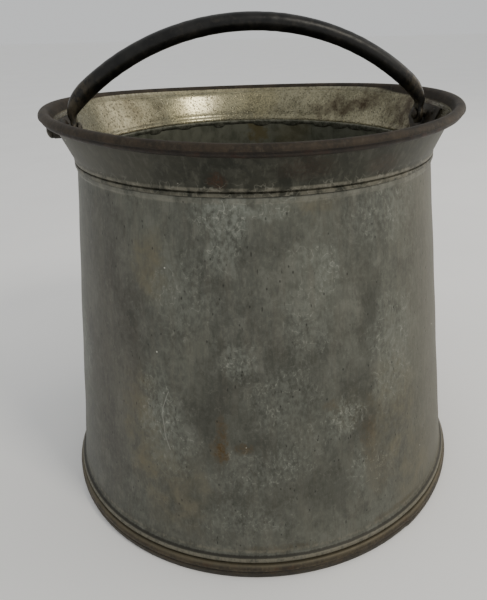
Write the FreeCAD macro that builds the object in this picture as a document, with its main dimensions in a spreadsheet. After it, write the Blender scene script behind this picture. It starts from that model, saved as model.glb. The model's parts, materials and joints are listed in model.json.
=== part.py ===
import FreeCAD, Part
import math
import os
import re
import Sketcher

# A waisted sheet-metal milk pail with an iron bail.
# Origin: centre of the foot on the ground. +Z is up, the bail swings about X. Millimetres.

DIMENSIONS = [
    ("sheet_thickness", 0.8, "tinned sheet of body and collar"),
    ("fit_gap", 0.05, "gap between nested pieces"),
    ("foot_radius", 158.4, "outside of the body cone just above its foot bead"),
    ("foot_cone_height", 16.6, "height where the body cone meets the foot bead"),
    ("bead_radius", 161.8, "outside of the foot bead"),
    ("bead_top", 14.4, "upper edge of the bead's flank"),
    ("bead_bottom", 12.2, "lower edge of the bead's flank"),
    ("foot_band_radius", 159.9, "outside of the body's upright foot band"),
    ("foot_clearance", 0.8, "height of the sheet's lower edge above the ground"),
    ("neck_radius", 128.6, "outside of the body at the neck"),
    ("neck_height", 259.8, "lower edge of the collar's hem"),
    ("seam_height", 260.9, "meeting plane of body flange and collar flange"),
    ("seam_radius", 130.3, "outside of the collar's hem"),
    ("rim_radius", 148.5, "outside of the rolled rim"),
    ("rim_height", 295.0, "top of the rolled rim"),
    ("roll_radius", 3.7, "outer radius of the roll's section"),
    ("wire_radius", 2.85, "rim wire"),
    ("flare_radius", 256.0, "curvature of the collar's inner face"),
    ("flare_angle", 27.0, "lean of the collar where it meets the roll"),
    ("flare_foot_angle", 19.2, "lean of the collar at the neck"),
    ("roll_end_angle", 15.0, "how far the roll passes below the wire's middle"),
    ("hoop_radius", 165.0, "outside of the foot hoop"),
    ("hoop_inner_radius", 160.0, "inside of the foot hoop"),
    ("hoop_height", 10.8, "height of the foot hoop"),
    ("hoop_groove", 0.6, "depth of the groove round the hoop"),
    ("bottom_height", 14.2, "upper face of the bottom plate"),
    ("bottom_radius", 159.0, "outside of the bottom plate's flange"),
    ("bottom_flange_foot", 2.0, "lower edge of the bottom plate's flange"),
    ("solder_leg", 3.6, "width of the solder fillet on the bottom plate"),
    ("solder_rise", 2.1, "height of the solder fillet on the bottom plate"),
    ("neck_solder_half", 1.4, "half height of the solder run in the neck"),
    ("neck_solder_depth", 0.9, "how far the neck solder stands into the pail"),
    ("seam_strip_width", 7.0, "width of the solder strip over an upright seam"),
    ("seam_strip_thickness", 0.6, "thickness of that strip"),
    ("seam_strip_margin", 3.0, "how far the strip stops short of the wall's ends"),
    ("pivot_height", 281.0, "height of the bail's pins"),
    ("pin_radius", 3.0, "shank of a bail pin"),
    ("pin_bore_radius", 3.05, "hole for the pin in washer, collar and ear plate"),
    ("pin_inner_head_radius", 4.4, "inner head of a bail pin"),
    ("pin_inner_head_height", 2.6, "height of that head"),
    ("pin_outer_head_radius", 6.0, "hammered outer head of a bail pin"),
    ("pin_outer_head_height", 5.0, "height of that head"),
    ("washer_radius", 6.2, "washer under the pin's outer head"),
    ("washer_face", 142.4, "distance of the washer's outer face from the middle"),
    ("eye_face", 130.0, "distance of the bail eye's outer face from the middle"),
    ("eye_thickness", 4.2, "thickness of the flattened eye"),
    ("eye_radius", 7.2, "round end of the eye"),
    ("eye_bore_radius", 3.08, "hole in the eye"),
    ("eye_side_gap", 0.3, "gap between the eye and the pin's inner head"),
    ("eye_neck_half_width", 4.0, "half width of the eye where it runs into the rod"),
    ("eye_neck_height", 17.0, "height of that place above the pin"),
    ("bail_rod_radius", 6.2, "rod of the bail"),
    ("bail_arch_radius", 184.0, "curvature of the bail's middle line"),
    ("bail_top", 348.0, "height of the bail's middle line at its top"),
    ("bail_half_angle", 48.5, "half of the arch's angle, before its ends are flattened"),
    ("ear_thickness", 1.5, "ear plate"),
    ("ear_half_width", 23.0, "half width of an ear plate"),
    ("ear_bottom", 266.0, "lower end of an ear plate"),
    ("ear_top", 287.4, "upper edge of an ear plate"),
    ("ear_corner_height", 276.0, "height where the plate starts to narrow"),
    ("rivet_height", 283.2, "height of the ear rivets"),
    ("rivet_offset", 12.0, "sideways distance of a rivet from the pin"),
    ("rivet_radius", 1.5, "rivet shank"),
    ("rivet_bore_radius", 1.55, "rivet hole"),
    ("rivet_head_radius", 2.6, "rivet head"),
    ("rivet_head_height", 1.1, "height of a rivet head"),
]

doc = FreeCAD.newDocument("milk_pail")
sheet = doc.addObject("Spreadsheet::Sheet", "Dims")
for row, (alias, number, note) in enumerate(DIMENSIONS, 1):
    sheet.set(f"A{row}", note)
    sheet.set(f"B{row}", str(number))
    sheet.setAlias(f"B{row}", alias)
doc.recompute()

EXPORTED = {}
ALIASES = {alias for alias, number, note in DIMENSIONS}


def size(alias):
    """A driving dimension as a number."""
    return float(getattr(sheet, alias))


def bound(text):
    """An expression in aliases, spelled out for the expression engine."""
    def spelled(found):
        word = found.group()
        return "Dims." + word if word in ALIASES else word

    return re.sub("[a-z_]+", spelled, text)


def number_of(text):
    """The value of an expression in aliases."""
    return float(sheet.evalExpression(bound(text)))


def origin_plane(body, role):
    """One of the body's own origin planes, such as XZ_Plane."""
    return next(item for item in body.Origin.OriginFeatures if item.Role == role)


def new_body(label):
    """An empty body for one sub-part."""
    body = doc.addObject("PartDesign::Body", label)
    body.Label = label
    return body


def new_sketch(body, name, role):
    """A sketch on one of the body's origin planes."""
    sketch = body.newObject("Sketcher::SketchObject", name)
    sketch.AttachmentSupport = (origin_plane(body, role), [""])
    sketch.MapMode = "FlatFace"
    return sketch


def add_bound(sketch, kind, *targets, text):
    """A dimensional constraint whose value is an expression in aliases."""
    index = sketch.addConstraint(Sketcher.Constraint(kind, *targets, number_of(text)))
    name = f"{kind.lower()}_{index}"
    sketch.renameConstraint(index, name)
    sketch.setExpression(f"Constraints.{name}", bound(text))


def arc_between(start, end, radius, clockwise):
    """The shorter arc of a circle from start to end."""
    middle = (start + end) / 2
    chord = end - start
    reach = math.sqrt(max(radius ** 2 - (chord.Length / 2) ** 2, 0))
    left = FreeCAD.Vector(-chord.y, chord.x, 0).normalize()
    centre = middle - left * reach if clockwise else middle + left * reach
    first, last = (end, start) if clockwise else (start, end)
    angles = [math.atan2(point.y - centre.y, point.x - centre.x) for point in (first, last)]
    circle = Part.Circle(centre, FreeCAD.Vector(0, 0, 1), radius)
    return Part.ArcOfCircle(circle, angles[0], angles[1])


def long_arc(start, end, centre, clockwise):
    """An arc of any length about a known centre."""
    first, last = (end, start) if clockwise else (start, end)
    angles = [math.atan2(point.y - centre.y, point.x - centre.x) for point in (first, last)]
    circle = Part.Circle(centre, FreeCAD.Vector(0, 0, 1), (start - centre).Length)
    return Part.ArcOfCircle(circle, angles[0], angles[1])


def outline(sketch, corners):
    """A closed outline of lines and arcs.

    Each corner is (x, y) or (x, y, arc), where arc describes the edge that leaves the corner:
    (radius, "cw" or "ccw") or, for an arc longer than half a turn, (radius, direction, cx, cy).
    All sizes are expressions in aliases.
    """
    points = [FreeCAD.Vector(number_of(c[0]), number_of(c[1]), 0) for c in corners]
    ends = []
    for number, corner in enumerate(corners):
        start = points[number]
        end = points[(number + 1) % len(points)]
        if len(corner) == 2:
            edge = sketch.addGeometry(Part.LineSegment(start, end), False)
            ends.append((edge, 1, 2))
            continue
        arc = corner[2]
        clockwise = arc[1] == "cw"
        if len(arc) == 2:
            shape = arc_between(start, end, number_of(arc[0]), clockwise)
        else:
            centre = FreeCAD.Vector(number_of(arc[2]), number_of(arc[3]), 0)
            shape = long_arc(start, end, centre, clockwise)
        edge = sketch.addGeometry(shape, False)
        ends.append((edge, 2, 1) if clockwise else (edge, 1, 2))
    for number, (edge, start, end) in enumerate(ends):
        following, next_start, next_end = ends[(number + 1) % len(ends)]
        sketch.addConstraint(Sketcher.Constraint("Coincident", edge, end, following, next_start))
    for corner, (edge, start, end) in zip(corners, ends):
        for text, kind, axis in ((corner[0], "DistanceX", -2), (corner[1], "DistanceY", -1)):
            if text == "0":
                sketch.addConstraint(Sketcher.Constraint("PointOnObject", edge, start, axis))
            else:
                add_bound(sketch, kind, -1, 1, edge, start, text=text)
        if len(corner) > 2:
            add_bound(sketch, "Radius", edge, text=corner[2][0])


def revolve(body, sketch, axis="V_Axis"):
    """A full turn of the sketch about one of its own axes."""
    turned = body.newObject("PartDesign::Revolution", body.Label + "_turned")
    turned.Profile = sketch
    turned.ReferenceAxis = (sketch, [axis])
    turned.Angle = 360
    body.Tip = turned
    return turned


def turned_body(label, corners):
    """A body of revolution about Z, from its section in the XZ plane."""
    body = new_body(label)
    sketch = new_sketch(body, label + "_section", "XZ_Plane")
    outline(sketch, corners)
    revolve(body, sketch)
    return body


def cylinder(name, radius, length, placement):
    """A cylinder along the placement's Z, with its radius and length bound to the sheet."""
    item = doc.addObject("Part::Cylinder", name)
    item.setExpression("Radius", bound(radius))
    item.setExpression("Height", bound(length))
    item.Placement = placement
    return item


def cut(label, base, tool):
    """Base less tool."""
    item = doc.addObject("Part::Cut", label)
    item.Base = base
    item.Tool = tool
    item.Label = label
    return item


def flare_face(height):
    """Radius of the collar's inner face at a height."""
    low = FreeCAD.Vector(size("neck_radius") - size("sheet_thickness"), size("seam_height"), 0)
    angle = math.radians(size("flare_angle"))
    centre = roll_centre()
    high = FreeCAD.Vector(
        centre.x - size("roll_radius") * math.cos(angle),
        centre.y + size("roll_radius") * math.sin(angle), 0)
    arc = arc_between(low, high, size("flare_radius"), True)
    return arc.Center.x - math.sqrt(arc.Radius ** 2 - (height - arc.Center.y) ** 2)


def roll_centre():
    """Centre of the roll's section, as (radius, height)."""
    roll = size("roll_radius")
    return FreeCAD.Vector(size("rim_radius") - roll, size("rim_height") - roll, 0)


# ---- sheet-metal body, bottom and foot ----------------------------------------------------

def make_body_shell():
    """Tapered sheet with a foot bead, an upright foot band and a flange at the neck."""
    inner = " - sheet_thickness"
    return turned_body("body_shell", [
        ("seam_radius - sheet_thickness - fit_gap", "seam_height"),
        ("neck_radius" + inner, "seam_height"),
        ("foot_radius" + inner, "foot_cone_height"),
        ("bead_radius" + inner, "bead_top"),
        ("bead_radius" + inner, "bead_bottom"),
        ("foot_band_radius" + inner, "hoop_height + 0.3"),
        ("foot_band_radius" + inner, "foot_clearance"),
        ("foot_band_radius", "foot_clearance"),
        ("foot_band_radius", "hoop_height + 0.1"),
        ("bead_radius", "bead_bottom - 0.2"),
        ("bead_radius", "bead_top + 0.1"),
        ("foot_radius", "foot_cone_height + 0.2"),
        ("neck_radius", "seam_height - sheet_thickness"),
        ("seam_radius - sheet_thickness - fit_gap", "seam_height - sheet_thickness"),
    ])


def make_bottom_plate():
    """Raised flat bottom with its flange pointing down."""
    flange_inner = "bottom_radius - sheet_thickness"
    return turned_body("bottom_plate", [
        ("0", "bottom_height - sheet_thickness"),
        (flange_inner, "bottom_height - sheet_thickness"),
        (flange_inner, "bottom_flange_foot"),
        ("bottom_radius", "bottom_flange_foot"),
        ("bottom_radius", "bottom_height"),
        ("0", "bottom_height"),
    ])


def make_bottom_solder():
    """Solder fillet between the bottom plate and the body, inside the pail."""
    edge = "foot_radius - sheet_thickness - 0.2"
    return turned_body("bottom_solder", [
        (edge + " - solder_leg", "bottom_height"),
        (edge, "bottom_height"),
        (edge, "bottom_height + solder_rise"),
    ])


def make_foot_hoop():
    """Iron hoop with a rounded outer face and one groove."""
    return turned_body("foot_hoop", [
        ("hoop_inner_radius", "0"),
        ("hoop_radius - 1.2", "0"),
        ("hoop_radius", "1.2"),
        ("hoop_radius", "hoop_height * 0.47"),
        ("hoop_radius - hoop_groove", "hoop_height * 0.53"),
        ("hoop_radius", "hoop_height * 0.59"),
        ("hoop_radius - 0.2", "hoop_height - 1.4"),
        ("hoop_radius - 1.8", "hoop_height"),
        ("hoop_inner_radius", "hoop_height"),
    ])


def make_neck_solder():
    """Solder run in the corner between the collar and the body."""
    wall = "neck_radius - sheet_thickness - fit_gap"
    return turned_body("neck_solder", [
        (wall, "seam_height - neck_solder_half"),
        (wall, "seam_height + neck_solder_half"),
        (wall + " - neck_solder_depth", "seam_height + 0.3"),
        (wall + " - neck_solder_depth", "seam_height - 0.3"),
    ])


# ---- collar and rim -----------------------------------------------------------------------

ROLL_X = "rim_radius - roll_radius"
ROLL_Z = "rim_height - roll_radius"
INNER_ROLL = "(roll_radius - sheet_thickness)"


def flare_top(radius):
    """Point of a roll circle where the flared wall runs into it."""
    return (f"{ROLL_X} - {radius} * cos(flare_angle)",
            f"{ROLL_Z} + {radius} * sin(flare_angle)")


def make_collar_shell():
    """Flared wall with a hemmed flange below and a roll over the wire above."""
    wall_inner = "neck_radius - sheet_thickness"
    top_inner = flare_top("roll_radius")
    top_outer = flare_top(INNER_ROLL)
    roll_end = [(f"{ROLL_X} + {radius} * cos(roll_end_angle)",
                 f"{ROLL_Z} - {radius} * sin(roll_end_angle)")
                for radius in ("roll_radius", INNER_ROLL)]
    return turned_body("collar_shell", [
        (wall_inner, "seam_height", ("flare_radius", "cw")),
        (*top_inner, ("roll_radius", "cw", ROLL_X, ROLL_Z)),
        roll_end[0],
        (*roll_end[1], ("roll_radius - sheet_thickness", "ccw", ROLL_X, ROLL_Z)),
        (*top_outer, ("flare_radius - sheet_thickness", "ccw")),
        ("neck_radius", "seam_height + sheet_thickness"),
        ("seam_radius", "seam_height + sheet_thickness"),
        ("seam_radius", "neck_height"),
        ("seam_radius - sheet_thickness", "neck_height"),
        ("seam_radius - sheet_thickness", "seam_height"),
    ])


def make_collar_envelope():
    """Solid space inside the collar's outer face, used to shape what bears on that face."""
    top_outer = flare_top(INNER_ROLL)
    return turned_body("collar_envelope", [
        ("0", "seam_height + sheet_thickness"),
        ("neck_radius + fit_gap", "seam_height + sheet_thickness",
         ("flare_radius - sheet_thickness", "cw")),
        (top_outer[0] + " + fit_gap", top_outer[1]),
        ("0", top_outer[1]),
    ])


def make_rim_wire():
    """Iron wire inside the rolled rim."""
    wire = doc.addObject("Part::Torus", "rim_wire")
    wire.Label = "rim_wire"
    wire.setExpression("Radius1", bound(ROLL_X))
    wire.setExpression("Radius2", bound("wire_radius"))
    wire.setExpression("Placement.Base.z", bound(ROLL_Z))
    return wire


# ---- ears, pins and washers ---------------------------------------------------------------

def along_x(x, y, z, side=1):
    """Placement whose Z axis points along X, outwards on the given side."""
    turn = FreeCAD.Rotation(FreeCAD.Vector(0, 1, 0), 90 * side)
    return FreeCAD.Placement(FreeCAD.Vector(x, y, z), turn)


def rivet_placement(side, hand):
    """Placement of a rivet square to the collar's wall, its origin on the wall's inner face."""
    height = size("rivet_height")
    radius = flare_face(height)
    step = 0.5
    lean = math.atan2(flare_face(height + step) - flare_face(height - step), 2 * step)
    swing = math.asin(size("rivet_offset") / radius) * hand
    outwards = FreeCAD.Vector(
        math.cos(lean) * math.cos(swing) * side, math.cos(lean) * math.sin(swing), -math.sin(lean))
    spot = FreeCAD.Vector(radius * math.cos(swing) * side, radius * math.sin(swing), height)
    turn = FreeCAD.Rotation(FreeCAD.Vector(0, 0, 1), outwards)
    return FreeCAD.Placement(spot, turn)


def shifted(placement, distance):
    """The placement moved along its own Z."""
    return placement * FreeCAD.Placement(FreeCAD.Vector(0, 0, distance), FreeCAD.Rotation())


def make_bores():
    """Everything that is drilled through the collar and the ear plates."""
    reach = size("rim_radius")
    tools = [cylinder("pin_bore", "pin_bore_radius", "rim_radius * 2",
                      along_x(-reach, 0, size("pivot_height")))]
    for side in (1, -1):
        for hand in (1, -1):
            start = shifted(rivet_placement(side, hand), -5)
            tools.append(cylinder("rivet_bore", "rivet_bore_radius", "10", start))
    bores = doc.addObject("Part::Compound", "bores")
    bores.Links = tools
    return bores


def make_rivets():
    """Ear rivets with a domed head inside and outside."""
    rivets = []
    for side in (1, -1):
        for hand in (1, -1):
            place = rivet_placement(side, hand)
            inside = -size("ear_thickness") - size("fit_gap") * 2
            outside = size("sheet_thickness") + size("fit_gap")
            shank = cylinder(
                "rivet_shank", "rivet_radius",
                "ear_thickness + sheet_thickness + fit_gap * 3", shifted(place, inside))
            heads = [rivet_head(shifted(place, outside), 0), rivet_head(shifted(place, inside), 180)]
            whole = doc.addObject("Part::MultiFuse", "rivet")
            whole.Shapes = [shank, *heads]
            rivets.append(whole)
    group = doc.addObject("Part::Compound", "ear_rivets")
    group.Links = rivets
    group.Label = "ear_rivets"
    return group


def rivet_head(place, flip):
    """A low cone frustum that stands for a hammered rivet head."""
    head = doc.addObject("Part::Cone", "rivet_head")
    head.setExpression("Radius1", bound("rivet_head_radius"))
    head.setExpression("Radius2", bound("rivet_head_radius * 0.55"))
    head.setExpression("Height", bound("rivet_head_height"))
    over = FreeCAD.Placement(FreeCAD.Vector(), FreeCAD.Rotation(FreeCAD.Vector(1, 0, 0), flip))
    head.Placement = place * over
    return head


def make_ear_band(name):
    """Ring that lies against the collar's inner face: the ears are cut from it."""
    wall_inner = "neck_radius - sheet_thickness"
    low = [(f"{wall_inner} - {away} * cos(flare_foot_angle)",
            f"seam_height + {away} * sin(flare_foot_angle)")
           for away in ("fit_gap", "(ear_thickness + fit_gap)")]
    high = [flare_top(f"(roll_radius + {away})")
            for away in ("fit_gap", "(ear_thickness + fit_gap)")]
    return turned_body(name, [
        (*low[0], ("flare_radius + fit_gap", "cw")),
        high[0],
        (*high[1], ("flare_radius + ear_thickness + fit_gap", "ccw")),
        low[1],
    ])


def make_ear_plate(label, side, bores):
    """Rounded plate against the inside of the collar, drilled for the pin and two rivets."""
    blank = new_body(label + "_outline")
    sketch = new_sketch(blank, label + "_outline_sketch", "YZ_Plane")
    outline(sketch, [
        ("ear_half_width", "ear_top"),
        ("ear_half_width * -1", "ear_top"),
        ("ear_half_width * -1", "ear_corner_height"),
        ("ear_half_width * -0.45", "ear_bottom"),
        ("ear_half_width * 0.45", "ear_bottom"),
        ("ear_half_width", "ear_corner_height"),
    ])
    pad = blank.newObject("PartDesign::Pad", label + "_reach")
    pad.Profile = sketch
    pad.setExpression("Length", bound("rim_radius"))
    pad.Reversed = side < 0
    blank.Tip = pad
    curved = doc.addObject("Part::Common", label + "_blank")
    curved.Base = make_ear_band(label + "_band")
    curved.Tool = blank
    return cut(label, curved, bores)


def place_on_side(item, side):
    """Turn a sub-part made on +X about Z for the other side, and lift it to the pins' height."""
    turn = FreeCAD.Rotation(FreeCAD.Vector(0, 0, 1), 0 if side > 0 else 180)
    item.Placement = FreeCAD.Placement(FreeCAD.Vector(0, 0, size("pivot_height")), turn)
    item.setExpression("Placement.Base.z", bound("pivot_height"))


def make_bail_pin(label, side):
    """Headed pin along X, its local height zero on the bail's axis."""
    body = new_body(label)
    sketch = new_sketch(body, label + "_section", "XZ_Plane")
    inner_face = "eye_face - eye_thickness - eye_side_gap"
    outline(sketch, [
        (inner_face + " - pin_inner_head_height", "0"),
        (inner_face + " - pin_inner_head_height", "pin_inner_head_radius * 0.45"),
        (inner_face + " - pin_inner_head_height * 0.45", "pin_inner_head_radius"),
        (inner_face, "pin_inner_head_radius"),
        (inner_face, "pin_radius"),
        ("washer_face + fit_gap", "pin_radius"),
        ("washer_face + fit_gap", "pin_outer_head_radius"),
        ("washer_face + fit_gap + pin_outer_head_height * 0.5", "pin_outer_head_radius"),
        ("washer_face + fit_gap + pin_outer_head_height", "pin_outer_head_radius * 0.5"),
        ("washer_face + fit_gap + pin_outer_head_height", "0"),
    ])
    revolve(body, sketch, "H_Axis")
    place_on_side(body, side)
    return body


def make_pin_washer(label, side, envelope, bores):
    """Wedge washer that fills the space between the leaning collar and the pin's outer head."""
    start = size("eye_face")
    place = along_x(start * side, 0, size("pivot_height"), side)
    blank = cylinder(label + "_blank", "washer_radius", "washer_face - eye_face", place)
    return cut(label, cut(label + "_wedge", blank, envelope), bores)


# ---- bail ---------------------------------------------------------------------------------

def mirrored(body, name, originals):
    """Repeat features on the other side of the YZ plane."""
    copy = body.newObject("PartDesign::Mirrored", name)
    copy.Originals = originals
    copy.MirrorPlane = (origin_plane(body, "YZ_Plane"), [""])
    body.Tip = copy
    return copy


def make_bail():
    """Round rod in a circular arch, trimmed flat at both ends and forged into eyes."""
    body = new_body("bail")
    body.setExpression("Placement.Base.z", bound("pivot_height"))

    rod = new_sketch(body, "rod_section", "YZ_Plane")
    middle = "bail_top - pivot_height"
    ring = Part.Circle(FreeCAD.Vector(0, number_of(middle), 0), FreeCAD.Vector(0, 0, 1),
                       size("bail_rod_radius"))
    circle = rod.addGeometry(ring, False)
    drop = number_of(middle + " - bail_arch_radius")
    reach = size("bail_rod_radius")
    axis = rod.addGeometry(Part.LineSegment(FreeCAD.Vector(-reach, drop, 0),
                                            FreeCAD.Vector(reach, drop, 0)), True)
    rod.addConstraint(Sketcher.Constraint("PointOnObject", circle, 3, -2))
    add_bound(rod, "DistanceY", -1, 1, circle, 3, text=middle)
    add_bound(rod, "Radius", circle, text="bail_rod_radius")
    for end, text in ((1, "bail_rod_radius * -1"), (2, "bail_rod_radius")):
        add_bound(rod, "DistanceX", -1, 1, axis, end, text=text)
        add_bound(rod, "DistanceY", -1, 1, axis, end, text=middle + " - bail_arch_radius")
    arch = body.newObject("PartDesign::Revolution", "arch")
    arch.Profile = rod
    arch.ReferenceAxis = (rod, ["Axis0"])
    arch.Midplane = True
    arch.setExpression("Angle", bound("bail_half_angle * 2"))
    body.Tip = arch
    doc.recompute()

    trim = new_sketch(body, "trim_outline", "YZ_Plane")
    trim.setExpression("AttachmentOffset.Base.z", bound("eye_face"))
    half = "eye_radius * 2"
    outline(trim, [
        (half, "eye_radius * -2"),
        (half, "eye_radius * 5"),
        (half + " * -1", "eye_radius * 5"),
        (half + " * -1", "eye_radius * -2"),
    ])
    flat = body.newObject("PartDesign::Pocket", "flat_end")
    flat.Profile = trim
    flat.setExpression("Length", bound("bail_rod_radius * 4"))
    flat.Reversed = True
    body.Tip = flat
    mirrored(body, "flat_ends", [flat])
    doc.recompute()

    eye = new_sketch(body, "eye_outline", "YZ_Plane")
    eye.setExpression("AttachmentOffset.Base.z", bound("eye_face - eye_thickness"))
    outline(eye, [
        ("eye_radius * -1", "0", ("eye_radius", "ccw")),
        ("0", "eye_radius * -1", ("eye_radius", "ccw")),
        ("eye_radius", "0"),
        ("eye_neck_half_width", "eye_neck_height"),
        ("eye_neck_half_width * -1", "eye_neck_height"),
    ])
    tongue = body.newObject("PartDesign::Pad", "eye")
    tongue.Profile = eye
    tongue.setExpression("Length", bound("eye_thickness"))
    body.Tip = tongue
    mirrored(body, "eyes", [tongue])
    doc.recompute()

    hole = new_sketch(body, "eye_bore_circle", "YZ_Plane")
    bore = hole.addGeometry(Part.Circle(FreeCAD.Vector(), FreeCAD.Vector(0, 0, 1),
                                        size("eye_bore_radius")), False)
    hole.addConstraint(Sketcher.Constraint("Coincident", bore, 3, -1, 1))
    add_bound(hole, "Radius", bore, text="eye_bore_radius")
    through = body.newObject("PartDesign::Pocket", "eye_bores")
    through.Profile = hole
    through.Type = "ThroughAll"
    through.SideType = "Symmetric"
    body.Tip = through
    return body


# ---- solder over the upright seam ---------------------------------------------------------

def cone_inner_radius(height):
    """Radius of the body cone's inner face at a height."""
    low = size("foot_cone_height")
    share = (height - low) / (size("seam_height") - low)
    span = size("neck_radius") - size("foot_radius")
    return size("foot_radius") - size("sheet_thickness") + span * share


def make_seam_strip(label):
    """Thin solder strip inside the body at -X, over its upright lap seam."""
    half = size("seam_strip_width") / 2
    depth = size("seam_strip_thickness")
    margin = size("seam_strip_margin")
    wires = []
    for height in (size("foot_cone_height") + margin, size("seam_height") - margin):
        inner = cone_inner_radius(height) - size("fit_gap")
        middle = math.sqrt(inner ** 2 - half ** 2)
        corners = [
            FreeCAD.Vector(-middle, half, height),
            FreeCAD.Vector(-middle, -half, height),
            FreeCAD.Vector(-middle + depth, -half * 0.6, height),
            FreeCAD.Vector(-middle + depth, half * 0.6, height),
        ]
        wires.append(Part.makePolygon([*corners, corners[0]]))
    item = doc.addObject("Part::Feature", label)
    item.Label = label
    item.Shape = Part.makeLoft(wires, True, True)
    return item


# ---- assembly -----------------------------------------------------------------------------

def keep(item):
    """Mark a sub-part for export."""
    EXPORTED[item.Label] = item


keep(make_body_shell())
keep(make_bottom_plate())
keep(make_bottom_solder())
keep(make_foot_hoop())
keep(make_neck_solder())
keep(make_rim_wire())

all_bores = make_bores()
wall_envelope = make_collar_envelope()
keep(cut("collar", make_collar_shell(), all_bores))
for name, direction in (("left", -1), ("right", 1)):
    keep(make_ear_plate("ear_plate_" + name, direction, all_bores))
    keep(make_bail_pin("bail_pin_" + name, direction))
    keep(make_pin_washer("pin_washer_" + name, direction, wall_envelope, all_bores))
keep(make_rivets())
keep(make_bail())

keep(make_seam_strip("side_seam_solder"))

doc.recompute()

for item in doc.Objects:
    if "Invalid" in item.State or "Error" in item.State:
        raise RuntimeError(f"{item.Label} failed: {item.State}")
for name, item in EXPORTED.items():
    if item.Shape.isNull() or not item.Shape.isValid() or not item.Shape.Solids:
        raise RuntimeError(f"{name} has no valid solid")

os.makedirs("parts", exist_ok=True)
for name, item in EXPORTED.items():
    item.Shape.exportStep(f"parts/{name}.step")
    print(f"{name}: {len(item.Shape.Solids)} solid(s), {item.Shape.Volume / 1000:.2f} cm3")
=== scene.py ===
import functools
import json
import math
import random

import bmesh
import bpy
from mathutils import Matrix, Quaternion, Vector


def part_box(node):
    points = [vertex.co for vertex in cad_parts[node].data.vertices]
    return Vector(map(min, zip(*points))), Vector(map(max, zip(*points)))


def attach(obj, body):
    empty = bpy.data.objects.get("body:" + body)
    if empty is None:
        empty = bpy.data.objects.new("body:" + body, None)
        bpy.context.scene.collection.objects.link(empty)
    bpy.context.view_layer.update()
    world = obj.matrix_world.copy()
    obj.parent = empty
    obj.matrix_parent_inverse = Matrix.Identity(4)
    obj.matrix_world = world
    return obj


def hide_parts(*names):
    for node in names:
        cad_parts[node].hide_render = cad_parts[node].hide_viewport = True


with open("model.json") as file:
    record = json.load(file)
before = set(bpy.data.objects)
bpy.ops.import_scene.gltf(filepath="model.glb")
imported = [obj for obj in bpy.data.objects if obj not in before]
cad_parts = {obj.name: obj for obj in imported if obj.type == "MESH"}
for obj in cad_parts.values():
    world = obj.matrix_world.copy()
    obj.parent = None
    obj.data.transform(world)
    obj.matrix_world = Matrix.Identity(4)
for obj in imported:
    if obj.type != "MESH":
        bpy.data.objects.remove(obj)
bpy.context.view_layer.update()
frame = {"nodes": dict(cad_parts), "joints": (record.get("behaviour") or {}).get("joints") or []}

# A dull tinned milk pail with a wired rim, an iron foot hoop and a black iron bail.
# Shapes are worked out in millimetres in the part's own frame and stored in metres.

MM = 0.001
TAU = 2 * math.pi

rim_top_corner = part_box("collar")[1] / MM
wire_low, wire_high = (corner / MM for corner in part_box("rim_wire"))
hoop_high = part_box("foot_hoop")[1] / MM
hinge = Vector(frame["joints"][0]["pos_m"]) / MM
bail_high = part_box("bail")[1] / MM
washer_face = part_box("pin_washer_right")[1].x / MM
pin_low, pin_high = (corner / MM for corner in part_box("bail_pin_right"))

SHEET = 0.8
RIM_RADIUS = rim_top_corner.x
RIM_TOP = rim_top_corner.z
ROLL = 3.7
ROLL_CENTRE = Vector((RIM_RADIUS - ROLL, RIM_TOP - ROLL))
WIRE = (wire_high.z - wire_low.z) / 2
SADDLE = 2.8
SADDLE_FOOT, SADDLE_RISE = 284.0, 8.0

NECK_RADIUS, NECK_TOP = 128.6, 260.1
FOOT_RADIUS, FOOT_TOP = 158.4, 16.8
BAND_RADIUS = 159.9
BEAD_RADIUS = 161.85
SEAM = 260.9
FLANGE, HEM_RADIUS = 129.4, 130.3
FLARE_FOOT = Vector((NECK_RADIUS - SHEET, SEAM))
FLARE_RADIUS = 256.0
FLARE_LEAN = math.radians(27)


# ---- mesh helpers ----

def ease(share):
    """Smooth step from 0 to 1."""
    share = min(max(share, 0.0), 1.0)
    return share * share * (3 - 2 * share)


@functools.cache
def ripple_waves(seed):
    """A few waves as (turns round the pail, rise with height, phase)."""
    dice = random.Random(seed)
    return [(dice.randint(2, 9), dice.uniform(0.01, 0.035), dice.uniform(0, TAU))
            for _ in range(5)]


def ripple(angle, height, seed):
    """A gentle unevenness between about -1 and 1 that closes on itself round the pail."""
    waves = [math.sin(turns * angle + rise * height + phase)
             for turns, rise, phase in ripple_waves(seed)]
    return sum(waves) * 0.32


def rounded(corners, steps=4):
    """A closed loop of (radius, height) from corners given as (radius, height, rounding)."""
    loop = []
    for index, (radius, height, rounding) in enumerate(corners):
        point = Vector((radius, height))
        if not rounding:
            loop.append(point)
            continue
        ends = []
        for other in (corners[index - 1], corners[(index + 1) % len(corners)]):
            side = Vector(other[:2]) - point
            ends.append(point + side.normalized() * min(rounding, side.length * 0.5))
        for step in range(steps + 1):
            t = step / steps
            loop.append(ends[0] * (1 - t) ** 2 + point * 2 * t * (1 - t) + ends[1] * t * t)
    return loop


def divided(loop, longest):
    """The closed loop with points added on its long edges."""
    points = []
    for index, point in enumerate(loop):
        following = loop[(index + 1) % len(loop)]
        count = max(1, math.ceil((following - point).length / longest))
        points += [point.lerp(following, step / count) for step in range(count)]
    return points


def arc(centre, radius, first, last, steps):
    """Points of an arc; angles are in degrees, from +X towards +Z."""
    angles = [math.radians(first + (last - first) * step / steps) for step in range(steps + 1)]
    return [centre + Vector((math.cos(a), math.sin(a))) * radius for a in angles]


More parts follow.
